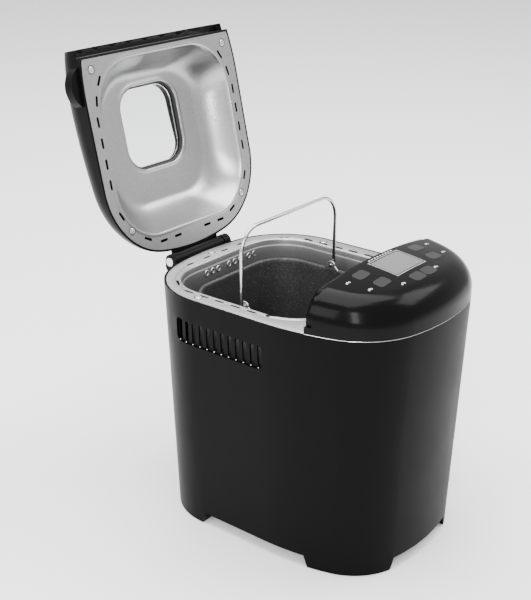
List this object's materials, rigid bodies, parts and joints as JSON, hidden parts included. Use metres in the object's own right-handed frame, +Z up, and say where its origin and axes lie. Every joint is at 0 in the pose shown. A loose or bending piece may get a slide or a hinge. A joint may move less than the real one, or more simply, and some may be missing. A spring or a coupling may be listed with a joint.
{
  "type": "bread machine",
  "caption": "Tapered black bread machine with a hinged windowed lid, silver deck, domed control panel, lift-out pan with wire bail, paddle and belt drive.",
  "frame": {"origin": "bottom centre of the box round the whole machine, standing on a table with its lid open at rest; the drive axis is at x 4.8 mm, y -17.8 mm", "axes": "+Z up, -Y towards the front and the control panel, +X to the right of a person facing the panel"},
  "size_m": [0.2324, 0.3964, 0.4648],
  "materials": {
    "housing_black": "smooth semi-matte moulded black",
    "panel_gloss": "polished black, clear-coated",
    "lid_black": "smooth semi-gloss moulded black",
    "deck_silver": "satin silver, fine powder grain",
    "liner_silver": "satin silver, fine powder grain",
    "chamber_grey": "grey heat-resistant coating",
    "pan_coating": "dark speckled non-stick coating",
    "paddle_coating": "dark non-stick coating",
    "bail_wire": "bright polished wire",
    "trim_bright": "thin bright strip",
    "steel_plain": "plain pressed steel",
    "screw_steel": "cross-head screws",
    "element_steel": "dull heater sheath",
    "bearing_bronze": "sintered bronze",
    "pad_rubber": "soft black rubber",
    "belt_rubber": "ribbed black rubber",
    "gasket_rubber": "black silicone",
    "pulley_plastic": "plain moulded nylon",
    "motor_steel": "zinc-plated can",
    "board_green": "circuit board laminate",
    "module_grey": "moulded display carrier",
    "lens_grey": "clear window over a grey liquid-crystal display",
    "button_grey": "dark grey key caps",
    "window_clear": "clear tempered glass",
    "vent_black": "matt black grille",
    "inlet_black": "matt black grommet"
  },
  "bodies": {
    "base": {"housing_shell": "housing_black", "base_plate": "steel_plain", "foot_pads": "pad_rubber", "deck_plate": "deck_silver", "deck_screws": "screw_steel", "seam_trim": "trim_bright", "chamber_liner": "chamber_grey", "heating_element": "element_steel", "heater_clips": "steel_plain", "temperature_sensor": "steel_plain", "thermal_fuse": "steel_plain", "chassis_plate": "steel_plain", "chassis_posts": "steel_plain", "base_screws": "screw_steel", "chamber_posts": "steel_plain", "drive_bearing": "bearing_bronze", "drive_belt": "belt_rubber", "motor_body": "motor_steel", "motor_mount": "steel_plain", "pan_seat": "steel_plain", "panel_cover": "panel_gloss", "display_lens": "lens_grey", "display_module": "module_grey", "control_board": "board_green", "power_board": "board_green", "lid_catch": "trim_bright", "hinge_bracket": "lid_black", "hinge_pins": "screw_steel", "vent_grille_left": "vent_black", "vent_grille_right": "vent_black", "cord_inlet": "inlet_black"},
    "drive": {"drive_pulley": "pulley_plastic", "drive_shaft": "steel_plain", "drive_coupler": "steel_plain"},
    "rotor": {"motor_pulley": "steel_plain", "motor_shaft": "steel_plain"},
    "pan": {"pan_body": "pan_coating", "pan_base_ring": "steel_plain", "pan_ears": "steel_plain", "pan_bush": "bearing_bronze", "shaft_seal": "gasket_rubber"},
    "mixer": {"mixing_shaft": "steel_plain", "pan_coupler": "steel_plain"},
    "paddle": {"kneading_paddle": "paddle_coating"},
    "bail": {"bail_handle": "bail_wire"},
    "lid": {"lid_cover": "lid_black", "lid_liner": "liner_silver", "liner_screws": "screw_steel", "window_gasket": "gasket_rubber", "window_glass": "window_clear", "lid_grip": "lid_black"},
    "button_menu_key": {"button_menu": "button_grey"},
    "button_size_key": {"button_size": "button_grey"},
    "button_start_key": {"button_start": "button_grey"},
    "button_up_key": {"button_up": "button_grey"},
    "button_down_key": {"button_down": "button_grey"},
    "button_timer_key": {"button_timer": "button_grey"}
  },
  "joints": [
    {"name": "lid_hinge", "type": "hinge", "parent": "base", "child": "lid", "pos_m": [0.0048, 0.1028, 0.2479], "axis": [-1, 0, 0], "range_deg": [-102.7, 0]},
    {"name": "pan_lift", "type": "slide", "parent": "base", "child": "pan", "axis": [0, 0, 1], "range_m": [0, 0.2]},
    {"name": "bail_hinge", "type": "hinge", "parent": "pan", "child": "bail", "pos_m": [0.0048, -0.0178, 0.2395], "axis": [-1, 0, 0], "range_deg": [-90, 0]},
    {"name": "drive_spin", "type": "hinge", "parent": "base", "child": "drive", "pos_m": [0.0048, -0.0178, 0.05], "axis": [0, 0, 1], "continuous": true},
    {"name": "motor_spin", "type": "hinge", "parent": "base", "child": "rotor", "pos_m": [-0.0152, -0.1468, 0.04], "axis": [0, 0, 1], "continuous": true},
    {"name": "mixer_spin", "type": "hinge", "parent": "pan", "child": "mixer", "pos_m": [0.0048, -0.0178, 0.09], "axis": [0, 0, 1], "continuous": true},
    {"name": "paddle_lift", "type": "slide", "parent": "mixer", "child": "paddle", "axis": [0, 0, 1], "range_m": [0, 0.12]},
    {"name": "button_menu_press", "type": "slide", "parent": "base", "child": "button_menu_key", "axis": [0, 0, -1], "range_m": [0, 0.0008], "stiffness_N_per_m": 250, "springref_m": -0.001},
    {"name": "button_size_press", "type": "slide", "parent": "base", "child": "button_size_key", "axis": [0, 0, -1], "range_m": [0, 0.0008], "stiffness_N_per_m": 250, "springref_m": -0.001},
    {"name": "button_start_press", "type": "slide", "parent": "base", "child": "button_start_key", "axis": [0, 0, -1], "range_m": [0, 0.0008], "stiffness_N_per_m": 250, "springref_m": -0.001},
    {"name": "button_up_press", "type": "slide", "parent": "base", "child": "button_up_key", "axis": [0, 0, -1], "range_m": [0, 0.0008], "stiffness_N_per_m": 250, "springref_m": -0.001},
    {"name": "button_down_press", "type": "slide", "parent": "base", "child": "button_down_key", "axis": [0, 0, -1], "range_m": [0, 0.0008], "stiffness_N_per_m": 250, "springref_m": -0.001},
    {"name": "button_timer_press", "type": "slide", "parent": "base", "child": "button_timer_key", "axis": [0, 0, -1], "range_m": [0, 0.0008], "stiffness_N_per_m": 250, "springref_m": -0.001}
  ],
  "couplings": [
    {"joint": "bail_hinge", "follows": "lid_hinge", "ratio": 0.876},
    {"joint": "drive_spin", "follows": "motor_spin", "ratio": 0.17778},
    {"joint": "mixer_spin", "follows": "motor_spin", "ratio": 0.17778}
  ]
}
